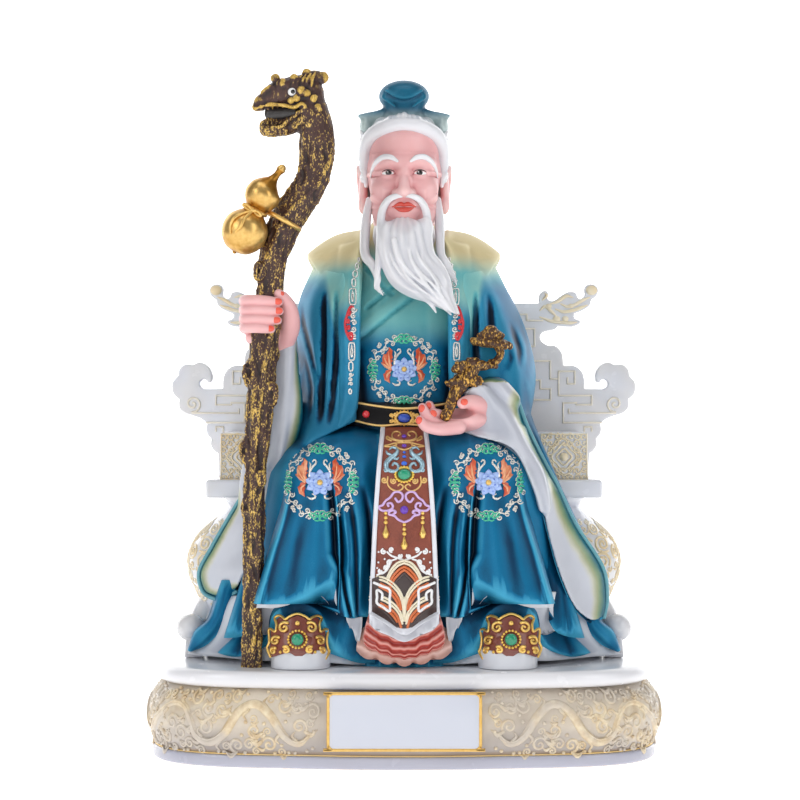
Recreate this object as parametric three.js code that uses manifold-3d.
// Cast resin figure of a seated elder with a dragon staff, on a throne and an oval plinth.
// Millimetres, +Z up, the figure looks along -Y, origin at the bottom centre.
import * as THREE from 'three';
import { mergeVertices } from 'three/addons/utils/BufferGeometryUtils.js';
import Module from 'manifold-3d';

const wasm = await Module();
wasm.setup();

const V = (x, y, z) => new THREE.Vector3(x, y, z);
const TAU = Math.PI * 2;
const GAP = 0.35;
const EASE = 3;
const EASY_GAP = 1;

// Driving dimensions
const PLINTH = { halfWide: 181.5, halfDeep: 127, centreY: 3.5, square: 4, bow: 6, bowHalf: 95 };
const SLAB = { under: 53, top: 65, inset: 5.5 };
const PANEL = { halfWide: 51, low: 14.4, high: 52, face: -130.5, round: 4 };
const FLOOR = SLAB.top + GAP;
const BACKREST = { front: 84, thick: 16, top: 323.7 };
const SEAT = { halfWide: 92, front: -20, back: 90, rear: 97, top: 150 };
const ARM = { inner: 84, panelIn: 99, panelOut: 133, front: -10, panelLow: 192, panelHigh: 226 };
const LEDGE = { outer: 143, low: 179, high: 192, front: -17 };
const HEAD = { y: -10, z: 413, halfWide: 27, halfDeep: 33, halfTall: 41 };
const BUN = { y: -2, z: 469.5, halfWide: 18.5, halfDeep: 17, halfTall: 11.5 };
const BELT = { low: 235, high: 247, proud: 3 };
const CHEST_RING = { x: 0, z: 271.6, radius: 25 };
const KNEE_RING = { x: 58.6, z: 192, radius: 27 };
const APRON = { topHalf: 17.3, footHalf: 25, top: 231, foot: 103, tip: 85 };
const SHOE = { x: 72, front: -106, halfWide: 21, soleTop: 72, top: 102 };
const STAFF_Y = -85;

// Solids from closed meshes
function bodyOf(geometry) {
  const bare = geometry.clone();
  bare.deleteAttribute('normal');
  bare.deleteAttribute('uv');
  const merged = mergeVertices(bare, 1e-4);
  const mesh = new wasm.Mesh({
    numProp: 3,
    vertProperties: new Float32Array(merged.attributes.position.array),
    triVerts: new Uint32Array(merged.index.array),
  });
  return new wasm.Manifold(mesh);
}

function join(geometries) {
  return geometries.map(bodyOf).reduce((whole, next) => whole.add(next));
}

function signedVolume(points, triangles) {
  let sum = 0;
  const corner = [V(0, 0, 0), V(0, 0, 0), V(0, 0, 0)];
  for (let t = 0; t < triangles.length; t += 3) {
    for (let k = 0; k < 3; k += 1) corner[k].fromArray(points, triangles[t + k] * 3);
    sum += corner[0].dot(corner[1].cross(corner[2])) / 6;
  }
  return sum;
}

function normalOf(points, [a, b, c]) {
  const [p, q, r] = [a, b, c].map((i) => points[i]);
  return q.clone().sub(p).cross(r.clone().sub(p));
}

// Edges shorter than `limit` close up, where no face turns over and the skin stays closed
function eased(body, limit) {
  const mesh = body.getMesh();
  const points = [];
  for (let i = 0; i < mesh.vertProperties.length; i += 3) points.push(V(...mesh.vertProperties.slice(i, i + 3)));
  const faces = [];
  for (let t = 0; t < mesh.triVerts.length; t += 3) faces.push([...mesh.triVerts.slice(t, t + 3)]);
  const around = points.map(() => new Set());
  faces.forEach((face, t) => face.forEach((i) => around[i].add(t)));
  const ring = (i) => new Set([...around[i]].flatMap((t) => faces[t]).filter((k) => k !== i));
  const tryClose = (a, b) => {
    const shared = [...around[a]].filter((t) => around[b].has(t));
    const ringB = ring(b);
    const common = [...ring(a)].filter((k) => ringB.has(k));
    if (shared.length !== 2 || common.length !== 2) return false;
    const spot = points[a].clone().lerp(points[b], 0.5);
    const moved = [...around[a], ...around[b]].filter((t) => !shared.includes(t));
    const turns = moved.some((t) => {
      const before = normalOf(points, faces[t]);
      const trial = faces[t].map((i) => (i === a || i === b ? spot : points[i]));
      const after = trial[1].clone().sub(trial[0]).cross(trial[2].clone().sub(trial[0]));
      return after.length() < 0.05 || before.dot(after) < 0.5 * before.length() * after.length();
    });
    if (turns) return false;
    points[a].copy(spot);
    shared.forEach((t) => {
      faces[t].forEach((i) => around[i].delete(t));
      faces[t] = null;
    });
    around[b].forEach((t) => {
      faces[t][faces[t].indexOf(b)] = a;
      around[a].add(t);
    });
    around[b].clear();
    return true;
  };
  for (let pass = 0, closed = 1; closed && pass < 6; pass += 1) {
    closed = 0;
    for (let t = 0; t < faces.length; t += 1) {
      for (let k = 0; faces[t] && k < 3; k += 1) {
        const a = faces[t][k];
        const b = faces[t][(k + 1) % 3];
        if (points[a].distanceTo(points[b]) < limit && tryClose(a, b)) closed += 1;
      }
    }
  }
  const geometry = new THREE.BufferGeometry();
  const flat = points.flatMap((p) => p.toArray());
  geometry.setAttribute('position', new THREE.Float32BufferAttribute(flat, 3));
  geometry.setIndex(faces.filter(Boolean).flat());
  const used = geometry.toNonIndexed();
  return bodyOf(used);
}

// The outer skin of a joined solid: hidden pockets between overlapping forms are filled
function outerSkin(body) {
  const mesh = body.getMesh();
  const raw = new THREE.BufferGeometry();
  raw.setAttribute('position', new THREE.BufferAttribute(new Float32Array(mesh.vertProperties), 3));
  raw.setIndex(Array.from(mesh.triVerts));
  const count = raw.attributes.position.count;
  const parent = Array.from({ length: count }, (_, i) => i);
  const rootOf = (i) => {
    let at = i;
    while (parent[at] !== at) {
      parent[at] = parent[parent[at]];
      at = parent[at];
    }
    return at;
  };
  const index = raw.index.array;
  for (let t = 0; t < index.length; t += 3) {
    parent[rootOf(index[t + 1])] = rootOf(index[t]);
    parent[rootOf(index[t + 2])] = rootOf(index[t]);
  }
  const shells = new Map();
  for (let t = 0; t < index.length; t += 3) {
    const key = rootOf(index[t]);
    if (!shells.has(key)) shells.set(key, []);
    shells.get(key).push(index[t], index[t + 1], index[t + 2]);
  }
  const points = raw.attributes.position.array;
  const ranked = [...shells.values()].sort((a, b) => signedVolume(points, b) - signedVolume(points, a));
  if (ranked[1] && signedVolume(points, ranked[1]) > 1) throw new Error('a loose lump is not joined');
  raw.setIndex(ranked[0]);
  return raw.toNonIndexed();
}

// A closed skin over rings of equal count, with a fan at each end
function loft(rings) {
  const sides = rings[0].length;
  const points = rings.flat();
  const faces = [];
  for (let r = 0; r + 1 < rings.length; r += 1) {
    for (let k = 0; k < sides; k += 1) {
      const a = r * sides + k;
      const b = r * sides + ((k + 1) % sides);
      faces.push(a, b, a + sides, b, b + sides, a + sides);
    }
  }
  const middle = (ring) => ring.reduce((sum, p) => sum.add(p), V(0, 0, 0)).divideScalar(sides);
  const last = (rings.length - 1) * sides;
  points.push(middle(rings[0]), middle(rings.at(-1)));
  for (let k = 0; k < sides; k += 1) {
    const next = (k + 1) % sides;
    faces.push(next, k, points.length - 2);
    faces.push(last + k, last + next, points.length - 1);
  }
  return facingOut(points, faces);
}

function facingOut(points, faces) {
  const flat = points.flatMap((p) => p.toArray());
  if (signedVolume(flat, faces) < 0) faces.reverse();
  const geometry = new THREE.BufferGeometry();
  geometry.setAttribute('position', new THREE.Float32BufferAttribute(flat, 3));
  geometry.setIndex(faces);
  return geometry;
}

// A round limb along a smooth line through stops [x, y, z, radius]
function limb(stops, { sides = 5, steps = 6, swell = () => 1, grow = 0 } = {}) {
  const path = new THREE.CatmullRomCurve3(stops.map(([x, y, z]) => V(x, y, z)), false, 'centripetal');
  const frames = path.computeFrenetFrames(steps, false);
  const rings = [];
  for (let i = 0; i <= steps; i += 1) {
    const u = i / steps;
    const at = path.getPointAt(u);
    const place = path.getUtoTmapping(u) * (stops.length - 1);
    const low = Math.min(Math.floor(place), stops.length - 2);
    const radius = THREE.MathUtils.lerp(stops[low][3], stops[low + 1][3], place - low) + grow;
    const ring = [];
    for (let k = 0; k < sides; k += 1) {
      const angle = (k / sides) * TAU;
      const reach = radius * swell(u, angle);
      ring.push(at.clone()
        .addScaledVector(frames.normals[i], Math.cos(angle) * reach)
        .addScaledVector(frames.binormals[i], Math.sin(angle) * reach));
    }
    rings.push(ring);
  }
  return loft(rings);
}

// A ball squashed to three half-sizes, turned about Y by `lean`
function ball([x, y, z], [rx, ry, rz], { around = 7, down = 5, lean = 0 } = {}) {
  const geometry = new THREE.SphereGeometry(1, around, down);
  geometry.rotateX(Math.PI / 2);
  geometry.scale(rx, ry, rz);
  geometry.rotateY(lean);
  geometry.translate(x, y, z);
  return geometry;
}

function block(x0, x1, y0, y1, z0, z1) {
  const geometry = new THREE.BoxGeometry(x1 - x0, y1 - y0, z1 - z0);
  geometry.translate((x0 + x1) / 2, (y0 + y1) / 2, (z0 + z1) / 2);
  return geometry;
}

// A flat plate whose outline lies in X and Z, from `front` back by `thick`
function plate(shape, front, thick, curveSegments = 5) {
  const geometry = new THREE.ExtrudeGeometry(shape, { depth: thick, bevelEnabled: false, curveSegments });
  geometry.rotateX(Math.PI / 2);
  geometry.translate(0, front + thick, 0);
  return geometry;
}

const power = (value, exponent) => Math.sign(value) * Math.abs(value) ** exponent;

// One level ring of a body: half-width `wide` about x, from `front` to `back`
function bodyRing({ z, x = 0, wide, front, back, square = 2.3 }, sides, fold = () => 0) {
  const mid = (front + back) / 2;
  const deep = (back - front) / 2;
  return Array.from({ length: sides }, (_, k) => {
    const a = (k / sides) * TAU;
    const out = fold(a, z);
    const px = x + (wide + out) * power(Math.cos(a), 2 / square);
    return V(px, mid + (deep + out) * power(Math.sin(a), 2 / square), z);
  });
}

// Level rings between the named stations, each key on a smooth curve
function bodyLoft(stations, { sides = 20, rings = stations.length, fold, grow = 0 } = {}) {
  const keys = Object.keys(stations[0]);
  const blend = (key, at) => {
    const low = Math.min(Math.floor(at), stations.length - 2);
    const t = at - low;
    return THREE.MathUtils.lerp(stations[low][key], stations[low + 1][key], t);
  };
  return loft(Array.from({ length: rings }, (_, i) => {
    const at = (i / (rings - 1)) * (stations.length - 1);
    const station = Object.fromEntries(keys.map((key) => [key, blend(key, at)]));
    station.wide += grow;
    station.front -= grow;
    station.back += grow;
    return bodyRing(station, sides, fold);
  }));
}

// A hanging cloth between two edges, each a smooth line of points from top to bottom.
// `wave` pushes the cloth forward; its back lies `thick` behind.
function cloth(leftEdge, rightEdge, { across = 5, down = 6, thick = 5, wave = () => 0 } = {}) {
  const left = new THREE.CatmullRomCurve3(leftEdge.map((p) => V(...p)));
  const right = new THREE.CatmullRomCurve3(rightEdge.map((p) => V(...p)));
  const front = [];
  for (let j = 0; j <= down; j += 1) {
    const a = left.getPoint(j / down);
    const b = right.getPoint(j / down);
    for (let i = 0; i <= across; i += 1) {
      const p = a.clone().lerp(b, i / across);
      p.y -= wave(i / across, j / down);
      front.push(p);
    }
  }
  const wide = across + 1;
  const total = front.length;
  const points = [...front, ...front.map((p) => V(p.x, p.y + thick, p.z))];
  const faces = [];
  const quad = (a, b, c, d) => faces.push(a, b, c, a, c, d);
  for (let j = 0; j < down; j += 1) {
    for (let i = 0; i < across; i += 1) {
      const a = j * wide + i;
      quad(a, a + wide, a + wide + 1, a + 1);
      quad(a + total, a + total + 1, a + total + wide + 1, a + total + wide);
    }
    const l = j * wide;
    const r = l + across;
    quad(l, l + total, l + total + wide, l + wide);
    quad(r, r + wide, r + wide + total, r + total);
  }
  for (let i = 0; i < across; i += 1) {
    const foot = down * wide + i;
    quad(i, i + 1, i + 1 + total, i + total);
    quad(foot, foot + total, foot + total + 1, foot + 1);
  }
  return facingOut(points, faces);
}

function mirrored(geometry) {
  const copy = geometry.clone();
  copy.scale(-1, 1, 1);
  const flat = copy.index ? copy : mergeVertices(copy, 1e-4);
  const order = Array.from(flat.index.array);
  for (let t = 0; t < order.length; t += 3) [order[t], order[t + 1]] = [order[t + 1], order[t]];
  flat.setIndex(order);
  return flat;
}

const bothSides = (geometries) => geometries.flatMap((g) => [g, mirrored(g)]);

// Plinth: a rounded oblong plan, bowed forward in the middle of its front
function plinthPoint(angle, inset, z) {
  const x = (PLINTH.halfWide - inset) * power(Math.cos(angle), 2 / PLINTH.square);
  const side = power(Math.sin(angle), 2 / PLINTH.square);
  const near = Math.max(0, 1 - (x / PLINTH.bowHalf) ** 2);
  const bow = side < 0 ? PLINTH.bow * near * near : 0;
  return V(x, PLINTH.centreY + (PLINTH.halfDeep - inset) * side - bow, z);
}

function plinthLoft(profile, sides) {
  return loft(profile.map(([z, inset]) => (
    Array.from({ length: sides }, (_, k) => plinthPoint(((k + 0.5) / sides) * TAU, inset, z))
  )));
}

// The plinth's side: how far the skin lies inside the widest line, by height
const PLINTH_SIDE = [[0, 4], [8, 3], [9, 4.5], [17, 1.4], [30, 0], [42, 3], [49, 9], [54, 15]];
const SLAB_SIDE = [
  [SLAB.under, SLAB.inset + 4],
  [SLAB.under + 3.5, SLAB.inset + 0.5],
  [SLAB.top - 4, SLAB.inset],
  [SLAB.top - 1.2, SLAB.inset + 1.4],
  [SLAB.top, SLAB.inset + 4.5],
];

function frontSkin(x, z, proud = 0) {
  const wideAt = PLINTH.halfWide - insetAt(z);
  const cos = power(x / wideAt, PLINTH.square / 2);
  const angle = -Math.acos(THREE.MathUtils.clamp(cos, -1, 1));
  const p = plinthPoint(angle, insetAt(z) - proud, z);
  return [p.x, p.y, z];
}

function insetAt(z) {
  const above = PLINTH_SIDE.findIndex(([height]) => height >= z);
  const [z1, in1] = PLINTH_SIDE[Math.max(above, 1)];
  const [z0, in0] = PLINTH_SIDE[Math.max(above, 1) - 1];
  return THREE.MathUtils.lerp(in0, in1, (z - z0) / (z1 - z0));
}

// A dragon coils along the front of the plinth, among cloud curls
const PLINTH_DRAGON = [
  [63, 40, 2], [74, 30, 3.2], [86, 33, 4], [98, 42, 4.4], [112, 40, 4.6],
  [124, 26, 4.6], [138, 20, 4.4], [152, 30, 4], [163, 38, 3.4],
];
const PLINTH_CLOUDS = [
  [66, 19, 5], [78, 44, 5], [94, 18, 5.5], [108, 24, 4.5], [128, 44, 5.5],
  [140, 36, 4.5], [150, 15, 5], [160, 20, 5], [170, 30, 5],
];

function plinthRelief() {
  const body = limb(PLINTH_DRAGON.map(([x, z, r]) => [...frontSkin(x, z), r]), { sides: 4, steps: 12 });
  const clouds = PLINTH_CLOUDS.map(([x, z, r]) => ball(frontSkin(x, z, -1), [r, 3.2, r * 0.8], {
    around: 5,
    down: 3,
  }));
  return bothSides([body, ...clouds]);
}

function namePanel() {
  const { halfWide: w, low, high, round: r } = PANEL;
  const shape = new THREE.Shape();
  shape.moveTo(-w + r, low);
  shape.lineTo(w - r, low);
  shape.quadraticCurveTo(w, low, w, low + r);
  shape.lineTo(w, high - r);
  shape.quadraticCurveTo(w, high, w - r, high);
  shape.lineTo(-w + r, high);
  shape.quadraticCurveTo(-w, high, -w, high - r);
  shape.lineTo(-w, low + r);
  shape.quadraticCurveTo(-w, low, -w + r, low);
  return plate(shape, PANEL.face, 24, 2);
}

function makeBase() {
  const parts = [plinthLoft(PLINTH_SIDE, 32), plinthLoft(SLAB_SIDE, 32), namePanel(), ...plinthRelief()];
  return eased(join(parts), EASE);
}

// Throne back: the right half of its outline, from the middle of the top rail
function backrestShape() {
  const half = [
    [103, BACKREST.top], [105, 331], [112, 334], [119, 329], [127, 332.5], [136, 330], [141, 337],
    [148, 336], [147, 330], [143, 327], [142, 320], [131, 314.5], [135, 309], [118, 306], [106, 300],
    [104, 293], [115, 291], [121, 281], [129, 276], [137, 268], [138, 258.5], [152, 258], [155, 264],
    [147, 263], [147, 268], [152, 276], [161, 278], [170, 275.6], [173, 268.5], [177, 261],
    [176, 255], [171, 250.5], [171, 244.5], [165, 239], [151, 232], [150, 225], [146, 220],
    [141, 207], [141, 180],
  ];
  const shape = new THREE.Shape();
  shape.moveTo(-half[0][0], half[0][1]);
  half.forEach(([x, z]) => shape.lineTo(x, z));
  [...half].reverse().slice(0, -1).forEach(([x, z]) => shape.lineTo(-x, z));
  return shape;
}

// The side of the throne: a waisted drum over a low foot, measured to its outer face
const DRUM_SIDE = [
  [FLOOR, 147], [76, 147], [80, 152], [93, 152], [98, 148], [112, 153], [131, 158], [150, 152],
  [164, 137], [171, 131], [180, 134],
];

function throneSide(grow) {
  const drum = bodyLoft(DRUM_SIDE.map(([z, outer]) => ({
    z,
    x: (outer + ARM.inner) / 2,
    wide: (outer - ARM.inner) / 2,
    front: -28 + (158 - outer) * 0.45,
    back: 88,
    square: 3.6,
  })), { sides: 14, grow });
  const foot = limb([
    [151, -23, FLOOR, 7], [151, -23, 76, 7.5], [152, -23, 86, 10.5], [146, -16, 98, 7], [136, -4, 106, 7],
  ], { sides: 7, steps: 6, grow });
  const ledge = block(ARM.inner, LEDGE.outer + grow, LEDGE.front - grow, 89, LEDGE.low - grow, LEDGE.high + grow);
  const high = ARM.panelHigh + grow;
  const arm = block(ARM.inner, ARM.panelOut + grow, ARM.front - grow, 89, LEDGE.high - 2, high);
  return [drum, foot, ledge, arm];
}

// The lattice panel on the arm front: crossing bars and a round boss
function armLattice(grow = 0) {
  const middleX = (ARM.panelIn + ARM.panelOut) / 2;
  const middleZ = (ARM.panelLow + ARM.panelHigh) / 2 + 1;
  const boss = ball([middleX, ARM.front, middleZ], [6, 3.4 + grow, 6], { around: 6, down: 4 });
  const reach = 15;
  const half = 1.2;
  const front = ARM.front - 1.4 - grow;
  const upright = block(middleX - half, middleX + half, front, ARM.front + 2, middleZ - reach, middleZ + reach);
  const level = block(middleX - reach, middleX + reach, front, ARM.front + 2, middleZ - half, middleZ + half);
  return [boss, upright, level];
}

// Key-fret ribs on the backrest, as [x0, z0, x1, z1]
const FRET = [
  [88, 312, 122, 315], [88, 284, 91, 312], [98, 268, 101, 287], [101, 268, 122, 271],
  [119, 240, 122, 268], [98, 240, 119, 243], [128, 238, 160, 241],
];

function makeThrone() {
  const back = plate(backrestShape(), BACKREST.front, BACKREST.thick);
  const seat = block(-SEAT.halfWide, SEAT.halfWide, SEAT.front, SEAT.back, FLOOR, SEAT.top);
  const rear = block(-SEAT.halfWide, SEAT.halfWide, BACKREST.front, SEAT.rear, FLOOR, LEDGE.high);
  const face = BACKREST.front;
  const ribs = FRET.map(([x0, z0, x1, z1]) => block(x0, x1, face - 1.5, face + 2, z0, z1));
  const scroll = ball([160, face, 258], [10, 2.4, 10], { around: 6, down: 4 });
  const crest = ball([128, face, 322], [9, 4, 6], { around: 6, down: 4 });
  const sides = bothSides([...throneSide(0), ...armLattice(), ...ribs, scroll, crest]);
  return eased(join([back, seat, rear, ...sides]), EASE * 0.8);
}

// The room the throne takes inside the figure's robes
function throneRoom() {
  const back = block(-181, 181, BACKREST.front - GAP, 140, 100, 400);
  const seat = block(-SEAT.halfWide, SEAT.halfWide, SEAT.front - GAP, 140, 0, SEAT.top + GAP);
  return join([back, seat, ...bothSides([...throneSide(EASY_GAP), ...armLattice(EASY_GAP)])]);
}

// The figure's trunk, from the seat to the neck
const TRUNK = [
  { z: SEAT.top + GAP, wide: 80, front: -60, back: 80 },
  { z: 190, wide: 80, front: -64, back: 80 },
  { z: 214, wide: 78, front: -62, back: 79 },
  { z: 226, wide: 76, front: -60, back: 77 },
  { z: 236, wide: 71, front: -58, back: 75 },
  { z: 248, wide: 68, front: -60, back: 72 },
  { z: 268, wide: 64, front: -62, back: 70 },
  { z: 292, wide: 62, front: -55, back: 70 },
  { z: 318, wide: 62, front: -42, back: 68 },
  { z: 340, wide: 60, front: -30, back: 62 },
  { z: 356, wide: 52, front: -20, back: 52 },
  { z: 368, wide: 34, front: -14, back: 40 },
  { z: 384, wide: 20, front: -12, back: 28 },
];

const CAPE = [
  { z: 342, wide: 63, front: -32, back: 63 },
  { z: 348, wide: 70, front: -32, back: 62 },
  { z: 355, wide: 70.5, front: -27, back: 57 },
  { z: 361, wide: 56, front: -22, back: 52 },
  { z: 368, wide: 42, front: -19, back: 46 },
  { z: 378, wide: 30, front: -17, back: 36 },
  { z: 386, wide: 27, front: -17, back: 30 },
];

// One knee and the skirt below it
const LEG = [
  { z: 98, x: 66, wide: 43, front: -92, back: -21 },
  { z: 122, x: 65, wide: 42, front: -93, back: -21 },
  { z: 150, x: 63, wide: 40, front: -93, back: -21 },
  { z: 180, x: 61, wide: 39, front: -93, back: -21 },
  { z: 200, x: 59, wide: 38, front: -91, back: -21 },
  { z: 212, x: 57, wide: 35, front: -86, back: -21 },
  { z: 220, x: 55, wide: 30, front: -77, back: -21 },
  { z: 226, x: 50, wide: 20, front: -62, back: -21 },
];

const UNDERSKIRT = [
  { z: FLOOR, wide: 92, front: -78, back: -21 },
  { z: 84, wide: 88, front: -76, back: -21 },
  { z: 104, wide: 84, front: -78, back: -21 },
  { z: 150, wide: 70, front: -76, back: -21 },
  { z: 205, wide: 60, front: -74, back: -21 },
];

const fall = (z, top, foot) => THREE.MathUtils.smoothstep(top - z, 0, top - foot);
const legFold = (a, z) => 4 * fall(z, 176, 100) * Math.cos(a * 7 + 0.9);
const underFold = (a, z) => 3 * fall(z, 140, 70) * Math.cos(a * 8);

// The apron hangs from the belt, over the lap and down between the knees
function makeApron() {
  const line = [[-60, APRON.top], [-78, 222], [-92, 210], [-97, 190], [-98, 150], [-98, APRON.foot]];
  const rows = line.map(([y, z]) => {
    const half = THREE.MathUtils.mapLinear(z, APRON.top, APRON.foot, APRON.topHalf, APRON.footHalf);
    return [half, y, z];
  });
  const drop = (side) => [...rows.map(([x, y, z]) => [side * x, y, z])];
  const panel = cloth(drop(-1), drop(1), { across: 1, down: 6, thick: 14 });
  const tipShape = new THREE.Shape();
  tipShape.moveTo(-APRON.footHalf, APRON.foot + 2);
  tipShape.lineTo(0, APRON.tip);
  tipShape.lineTo(APRON.footHalf, APRON.foot + 2);
  return [panel, plate(tipShape, -98, 10)];
}

// Two gathered frills below the apron
function makeFrills() {
  const frill = (half, top, foot, face, phase) => cloth(
    [[-half, face, top], [-half - 3, face - 2, foot]],
    [[half, face, top], [half + 3, face - 2, foot]],
    { across: 8, down: 1, thick: 24, wave: (u, v) => (1 + 2 * v) * Math.cos(u * TAU * 4 + phase) },
  );
  return [frill(27, 110, 76, -91, 0), frill(30, 84, FLOOR, -88, 1)];
}

function makeShoe() {
  const { x, halfWide, soleTop, top } = SHOE;
  const upper = ball([x, -78, 86], [halfWide, 27, top - 86], { around: 10, down: 6 });
  const sole = bodyLoft([
    { z: FLOOR, x, wide: halfWide + 0.5, front: SHOE.front, back: -60, square: 2.8 },
    { z: soleTop, x, wide: halfWide, front: SHOE.front + 1, back: -60, square: 2.8 },
  ], { sides: 12 });
  const scroll = ball([x, -100, 92], [9, 5, 9], { around: 6, down: 4 });
  return [upper, sole, scroll];
}

// A carved ring with a five-petalled flower, lying on the cloth at `face`
function roundel({ x, z, radius }, face, bow) {
  const ring = Array.from({ length: 13 }, (_, k) => {
    const a = (k / 12) * TAU;
    const dx = Math.cos(a) * radius;
    const dz = Math.sin(a) * radius;
    return V(x + dx, face + bow(dx, dz), z + dz);
  });
  const path = new THREE.CatmullRomCurve3(ring.slice(0, 12), true);
  const rings = Array.from({ length: 13 }, (_, k) => {
    const p = path.getPoint(k / 12);
    const out = V(p.x - x, 0, p.z - z).normalize();
    return [[-2.4, 2], [0, -2], [2.4, 2]].map(([r, d]) => (
      p.clone().addScaledVector(out, r).add(V(0, d, 0))
    ));
  });
  const half = (from, to) => loft(rings.slice(from, to));
  const flower = new THREE.Shape();
  Array.from({ length: 20 }, (_, k) => {
    const a = (k / 20) * TAU;
    const r = radius * (0.48 + 0.1 * Math.cos(a * 5 + Math.PI / 2));
    const spot = [x + Math.cos(a) * r, z + Math.sin(a) * r];
    return k ? flower.lineTo(...spot) : flower.moveTo(...spot);
  });
  return [half(0, 7), half(6, 13), plate(flower, face - 1.6, 8)];
}

function makeBelt() {
  const grown = (z) => ({ z, wide: 70 + BELT.proud, front: -60 - BELT.proud, back: 73 + BELT.proud });
  const buckle = ball([0, -63, 240], [7, 4, 5]);
  return [bodyLoft([grown(BELT.low), grown(BELT.high)], { sides: 20 }), buckle];
}

// Long front bands from the shoulders, and the crossed collar
function makeLapels() {
  const band = cloth(
    [[31, -27, 352], [31, -50, 318], [31, -60, 285], [34, -61, 250]],
    [[43, -22, 352], [43, -44, 318], [43, -54, 285], [46, -54, 250]],
    { across: 1, down: 4, thick: 9 },
  );
  const over = limb([[22, -20, 366, 4], [6, -37, 338, 4], [-32, -51, 294, 4]], { sides: 4, steps: 4 });
  const under = limb([[-22, -20, 366, 4], [-8, -33, 342, 4], [2, -40, 328, 4]], { sides: 4, steps: 2 });
  return [...bothSides([band]), over, under];
}

// Right arm: raised to the staff, its long sleeve falling outward from the wrist
function makeRightArm() {
  const sleeve = limb([
    [-44, 22, 338, 24], [-53, 16, 305, 25], [-56, 2, 268, 25], [-70, -34, 272, 22], [-84, -60, 286, 15],
  ], { sides: 7, steps: 6 });
  const wrist = limb([[-76, -46, 280, 11], [-92, -70, 292, 9.5], [-97, -76, 304, 10]], { sides: 6, steps: 3 });
  const hang = (u, v) => 3.6 * Math.sin(v * 3) * Math.cos(u * TAU * 1.5);
  const inner = cloth(
    [[-98, -66, 288], [-101, -66, 240], [-105, -62, 200], [-132, -54, 146], [-144, -48, 129], [-133, -44, 113]],
    [[-72, -52, 300], [-74, -52, 250], [-80, -52, 200], [-92, -50, 160], [-104, -46, 128], [-118, -44, 113]],
    { across: 4, down: 6, thick: 16, wave: hang },
  );
  const outer = cloth(
    [[-78, -48, 292], [-84, -48, 240], [-92, -46, 180], [-118, -40, 128], [-134, -36, 106]],
    [[-56, -34, 280], [-66, -40, 240], [-72, -40, 180], [-90, -38, 128], [-100, -36, 104]],
    { across: 4, down: 5, thick: 34, wave: hang },
  );
  return [sleeve, wrist, inner, outer];
}

// Left arm: bent across the lap with the palm up
function makeLeftArm() {
  const sleeve = limb([
    [44, 22, 338, 24], [58, 16, 305, 26], [68, 2, 270, 25], [66, -30, 254, 22], [58, -56, 250, 16],
  ], { sides: 7, steps: 6 });
  const wrist = limb([[66, -46, 250, 11], [56, -66, 246, 10], [46, -76, 242, 10]], { sides: 6, steps: 3 });
  const hang = (u, v) => 3.6 * Math.sin(v * 3) * Math.cos(u * TAU * 1.5);
  const inner = cloth(
    [[54, -66, 246], [74, -68, 222], [92, -64, 196], [98, -60, 168], [111, -56, 118], [126, -52, 94]],
    [[74, -52, 262], [92, -54, 226], [102, -54, 196], [114, -52, 158], [136, -50, 122], [137, -48, 100]],
    { across: 4, down: 6, thick: 16, wave: hang },
  );
  const outer = cloth(
    [[72, -34, 270], [82, -40, 230], [84, -42, 190], [96, -40, 140], [112, -36, 96]],
    [[92, -8, 268], [100, -16, 230], [108, -24, 190], [128, -30, 146], [146, -34, 108]],
    { across: 4, down: 5, thick: 30, wave: hang },
  );
  return [sleeve, wrist, inner, outer];
}

// Blue robe tails that spread on the slab at each side
function makeTails() {
  const tail = cloth(
    [[92, -52, 130], [98, -56, 100], [104, -60, FLOOR]],
    [[120, -38, 130], [138, -40, 100], [157, -44, FLOOR]],
    { across: 7, down: 3, thick: 22, wave: (u, v) => 3.2 * v * Math.cos(u * TAU * 2.5) },
  );
  return bothSides([tail]);
}

// The fist round the staff: four fingers stacked, thumb over the top
function makeFist() {
  const finger = (z, reach) => limb([
    [-108, -74, z, 5], [-112, -88, z + 1, 5.2], [-103, -99, z, 5], [-90 + reach, -97, z - 1, 4.4],
  ], { sides: 5, steps: 4 });
  const palm = ball([-98, -72, 303], [15, 12, 19], { around: 8, down: 5 });
  const thumb = limb([[-90, -72, 300, 6], [-84, -84, 312, 5.4], [-88, -93, 321, 4.4]], { sides: 5, steps: 4 });
  return [palm, thumb, finger(319, 2), finger(310, 3), finger(301, 2), finger(292.5, 0)];
}

// The open hand that carries the sprig
function makeOpenHand() {
  const finger = (y, z, tip) => limb([
    [44, y + 4, z - 3, 5.4], [30, y, z - 5, 5], [18 + tip, y - 1, z - 1, 4.5], [12 + tip, y, z + 4, 3.8],
  ], { sides: 5, steps: 4 });
  const palm = ball([44, -78, 240], [17, 15, 9], { around: 8, down: 5 });
  const thumb = limb([[54, -74, 246, 5.6], [46, -70, 253, 5], [38, -72, 253, 4]], { sides: 5, steps: 3 });
  return [palm, thumb, finger(-88, 238, 0), finger(-80, 239, -2), finger(-72, 240, 0), finger(-66, 242, 4)];
}

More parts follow.
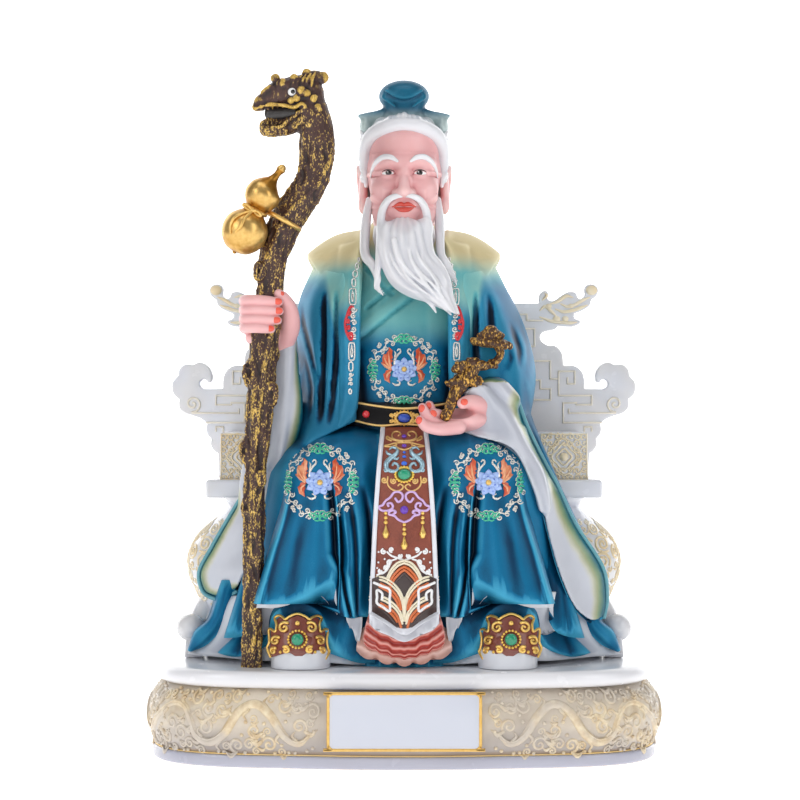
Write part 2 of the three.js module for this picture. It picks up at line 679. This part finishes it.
function makeHead() {
  const { y, z, halfWide, halfDeep, halfTall } = HEAD;
  const face = ball([0, y, z], [halfWide, halfDeep, halfTall], { around: 12, down: 8 });
  const hair = ball([0, y + 7, z + 9], [halfWide + 5.5, halfDeep - 1, halfTall - 5], { around: 10, down: 7 });
  const nose = ball([0, y - halfDeep, z - 5], [4.6, 5.5, 9]);
  const neck = limb([[0, 14, 366, 21], [0, 4, 392, 20]], { sides: 8, steps: 2 });
  const cap = ball([0, y + 9, z + 39], [30, 24, 7], { around: 12, down: 5 });
  const bun = ball([0, BUN.y, BUN.z], [BUN.halfWide, BUN.halfDeep, BUN.halfTall], { around: 10, down: 6 });
  const pairs = bothSides([
    ball([halfWide + 6, y + 8, z - 8], [4, 8, 17], { around: 8, down: 6 }),
    ball([12, y - halfDeep + 3.5, z + 10], [8.5, 3.6, 3.2]),
    ball([15, y - 21, z - 12], [10, 9, 10]),
    ball([26, y + 8, z + 4], [9, 14, 17], { around: 8, down: 6 }),
  ]);
  return [face, hair, nose, neck, cap, bun, ...pairs];
}

// Wavy locks: each starts at the lip or jaw and falls with a sweep to one side
function makeBeard() {
  const locks = Array.from({ length: 6 }, (_, k) => {
    const t = k / 5;
    const top = THREE.MathUtils.lerp(-17, 17, t);
    const tipX = THREE.MathUtils.lerp(-12, 38, t);
    const tipZ = THREE.MathUtils.lerp(336, 309, t ** 0.8);
    const sway = 4 * Math.sin(k * 2.1);
    return limb([
      [top, -14 - 14 * Math.sin(t * Math.PI), 388, 8],
      [top, -34 - 8 * Math.sin(t * Math.PI), 380, 7.5],
      [top * 0.8 + 1 + sway, -50, 360, 9],
      [top * 0.4 + tipX * 0.45 - sway, -55, 338, 6.5],
      [tipX, -56 - t * 3, tipZ, 1.6],
    ], { sides: 5, steps: 4 });
  });
  const whisker = (side) => limb([
    [side * 2, -38, 395, 3], [side * 9, -42, 389, 3.4], [side * 14, -46, 378, 3.4], [side * 15, -52, 366, 2.8], [side * 13, -58, 346, 1.2],
  ], { sides: 5, steps: 4 });
  const leftLock = limb([[-28, -14, 392, 6], [-31, -24, 370, 6.5], [-26, -40, 348, 5], [-16, -52, 325, 1.4]], {
    sides: 5,
    steps: 5,
  });
  const rightLock = limb([[28, -14, 392, 6], [29, -26, 366, 6.5], [32, -42, 348, 5], [37, -50, 331, 1.4]], {
    sides: 5,
    steps: 5,
  });
  return [...locks, whisker(1), whisker(-1), leftLock, rightLock];
}

function makeFigure() {
  const legs = bothSides([bodyLoft(LEG, { sides: 22, fold: legFold })]);
  const chest = roundel(CHEST_RING, -61, (dx) => 0.008 * dx * dx);
  const knee = bothSides(roundel(KNEE_RING, -93, (dx, dz) => 0.004 * (dx * dx + Math.max(dz, 0) ** 2 * 2)));
  const robes = [
    bodyLoft(TRUNK, { sides: 20 }),
    bodyLoft(CAPE, { sides: 20 }),
    bodyLoft(UNDERSKIRT, { sides: 26, fold: underFold }),
    ...legs, ...makeApron(), ...makeFrills(), ...makeBelt(), ...makeLapels(), ...makeTails(),
    ...bothSides(makeShoe()), ...chest, ...knee, ...makeRightArm(), ...makeLeftArm(),
  ];
  return eased(join([...robes, ...makeHead(), ...makeBeard(), ...makeFist(), ...makeOpenHand()]), EASE * 1.3);
}

// The gnarled staff, from its foot to the throat of the dragon
const STAFF = [
  [-105.5, STAFF_Y, FLOOR, 5.2], [-105, STAFF_Y, 111, 6], [-103.7, STAFF_Y, 153, 6.2],
  [-103.4, STAFF_Y, 194, 6.6], [-101, STAFF_Y, 229, 9.6], [-98.9, STAFF_Y, 255, 8.6],
  [-95, STAFF_Y, 291, 10.4], [-92, STAFF_Y, 326, 9], [-90.4, STAFF_Y, 345, 9.2],
  [-85, STAFF_Y, 367, 11], [-75, STAFF_Y, 383, 11], [-66, STAFF_Y, 395, 11.5],
  [-61, STAFF_Y, 408, 11.6], [-59.5, STAFF_Y, 425, 12.6], [-64, STAFF_Y, 443, 13.4],
];

const gnarl = (u, a) => 1 + 0.1 * Math.sin(a * 3 + u * 34) + 0.05 * Math.sin(a * 5 - u * 60);

function staffShaft(grow = 0) {
  return limb(STAFF, { sides: 6, steps: 28, swell: gnarl, grow });
}

function makeStaff() {
  const y = STAFF_Y;
  const head = [
    ball([-76, y, 457], [18, 13, 13], { around: 10, down: 7 }),
    ball([-94, y, 456], [11, 9.5, 6.5], { around: 8, down: 5 }),
    ball([-101, y, 460], [4, 6.5, 4.5]),
    limb([[-76, y, 443, 8], [-88, y, 437, 5.5], [-99, y, 437, 3.6]], { sides: 6, steps: 4 }),
    ball([-66, y, 470], [8, 9, 8]),
    limb([[-66, y, 468, 4], [-55.5, y, 473.5, 4.4]], { sides: 6, steps: 2 }),
  ];
  const pairs = [-1, 1].flatMap((side) => [
    limb([[-84, y + side * 9, 465, 4], [-76, y + side * 11, 471, 3.4], [-68, y + side * 9, 477, 1.6]], {
      sides: 5,
      steps: 4,
    }),
    limb([[-70, y + side * 8, 466, 4.4], [-54, y + side * 12, 455, 4], [-50.5, y + side * 9, 444, 2]], {
      sides: 5,
      steps: 4,
    }),
    limb([[-72, y + side * 11, 450, 4.4], [-66, y + side * 13, 440, 4], [-71, y + side * 12, 431, 2]], {
      sides: 5,
      steps: 4,
    }),
    ball([-84.5, y + side * 11, 459], [3.2, 3, 3.2]),
  ]);
  const knots = [
    ball([-105, y - 3, 270], [5, 5, 7]),
    ball([-91, y - 4, 256], [5, 5, 6]),
    ball([-108, y - 3, 215], [4.5, 5, 7]),
  ];
  return eased(join([staffShaft(), ...head, ...pairs, ...knots]), EASE);
}

// The gourd leans against the staff, tied round it at the waist
const GOURD = { topX: -98, topZ: 393, topR: 12.3, lowX: -110, lowZ: 366.5, lowR: 15.6, y: -97 };

function makeGourd() {
  const { topX, topZ, topR, lowX, lowZ, lowR, y } = GOURD;
  const apart = Math.hypot(topX - lowX, topZ - lowZ);
  const profile = [];
  profile.push([0, -lowR]);
  [0.35, 0.68, 0.9, 1, 0.93, 0.72].forEach((r, k) => profile.push([lowR * r, -lowR * Math.cos(0.37 + k * 0.4)]));
  profile.push([6.4, apart * 0.52]);
  [0.72, 0.95, 1, 0.85, 0.5].forEach((r, k) => profile.push([topR * r, apart + topR * (k * 0.36 - 0.66)]));
  profile.push([2.4, apart + topR * 1.05], [1.9, apart + topR * 1.5], [0, apart + topR * 1.52]);
  const shape = new THREE.LatheGeometry(profile.map(([r, h]) => new THREE.Vector2(r, h)), 14);
  shape.rotateX(Math.PI / 2);
  shape.rotateY(Math.atan2(topX - lowX, topZ - lowZ));
  shape.translate(lowX, y, lowZ);
  const waist = V(topX, y, topZ).lerp(V(lowX, y, lowZ), 0.48);
  const cord = (stops) => limb(stops, { sides: 5, steps: 6 });
  const tie = new THREE.TorusGeometry(14.4, 2.8, 5, 14);
  tie.rotateY(0.46);
  tie.translate(-82, STAFF_Y, 372);
  return [
    shape,
    tie,
    cord([[waist.x, y - 2, waist.z, 2.6], [-99, y + 5, 381, 2.6], [-95, y + 12, 380, 2.6]]),
    cord([[waist.x, y - 6, waist.z, 2.4], [-110, y - 14, 374, 2.6], [-113, y - 14, 366, 1.4]]),
    cord([[waist.x, y - 6, waist.z, 2.4], [-101, y - 13, 372, 2.6], [-104, y - 15, 360, 1.4]]),
  ];
}

// The sprig: a knobbly stem that rises to a lobed cap
const SPRIG = [
  [28, -86, 235, 3], [32, -85, 246, 3.6], [37, -82, 258, 5.6], [44, -78, 268, 7],
  [53, -74, 274, 5.5], [60, -70, 280, 3.6], [63, -68, 286, 4],
];

function sprigStem(grow = 0) {
  const knobs = (u, a) => 1 + 0.16 * Math.sin(a * 2 + u * 26);
  return limb(SPRIG, { sides: 6, steps: 10, swell: knobs, grow });
}

function makeSprig() {
  const cap = [
    ball([61, -69, 290], [13.5, 10, 4.2], { around: 10, down: 5, lean: -0.25 }),
    ball([60, -70, 296], [7.5, 6.5, 4.5]),
    ball([50, -72, 288], [4.6, 6, 3.6], { around: 6, down: 4 }),
    ball([72, -67, 291], [4, 6, 3.6], { around: 6, down: 4 }),
    ball([39, -82, 274], [5, 5, 4.5], { around: 6, down: 4 }),
    ball([47, -80, 262], [5.5, 5, 4.5], { around: 6, down: 4 }),
  ];
  return eased(join([sprigStem(), ...cap]), EASE);
}

// Each piece, with the room its neighbours take cut out of it
const staffRoom = bodyOf(staffShaft(GAP));
const sprigRoom = bodyOf(sprigStem(GAP));
const figureBody = makeFigure().subtract(throneRoom()).subtract(staffRoom).subtract(sprigRoom);
const gourdBody = eased(join(makeGourd()), EASE).subtract(staffRoom);

const PIECES = [
  ['base', makeBase(), 0xd8cdb2, 0.35],
  ['throne', makeThrone(), 0xe6e2da, 0.3],
  ['figure', figureBody, 0x14607c, 0.4],
  ['staff', makeStaff(), 0x4a2f22, 0.5],
  ['gourd', gourdBody, 0xd9a62e, 0.3],
  ['lingzhi', makeSprig(), 0x6e4a26, 0.45],
];

const model = new THREE.Group();
PIECES.forEach(([name, body, color, roughness]) => {
  const metalness = name === 'gourd' ? 0.8 : 0;
  const material = new THREE.MeshStandardMaterial({ color, roughness, metalness });
  const mesh = new THREE.Mesh(outerSkin(body), material);
  mesh.geometry.computeVertexNormals();
  mesh.name = name;
  model.add(mesh);
});

export default model;
